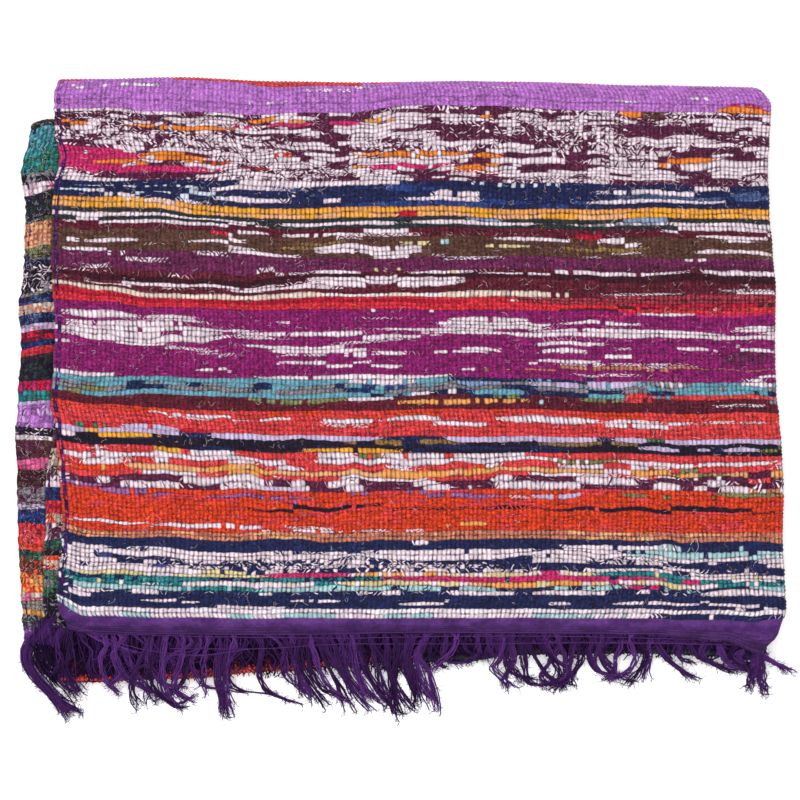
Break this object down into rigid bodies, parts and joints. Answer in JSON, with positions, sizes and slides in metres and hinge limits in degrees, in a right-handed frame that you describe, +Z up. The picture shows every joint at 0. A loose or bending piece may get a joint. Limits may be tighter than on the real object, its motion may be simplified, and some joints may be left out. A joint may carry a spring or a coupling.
{
  "type": "folded rag rug",
  "caption": "Handwoven rag rug with purple headings and fringes, folded into a flat stack, to lay on a floor or keep on a shelf.",
  "frame": {"origin": "middle of the outline, on the surface that the rug lies on", "axes": "+X to the fold at the right, +Y away from the fringed ends, +Z up"},
  "size_m": [0.6334, 0.5292, 0.0344],
  "materials": {
    "rags": "woven cotton rags in many coloured stripes, matt and ribbed",
    "yarn": "purple cotton warp yarn, matt"
  },
  "bodies": {
    "root": {"rug_cloth": "rags", "fringe_top": "yarn", "fringe_under": "yarn"}
  },
  "joints": []
}
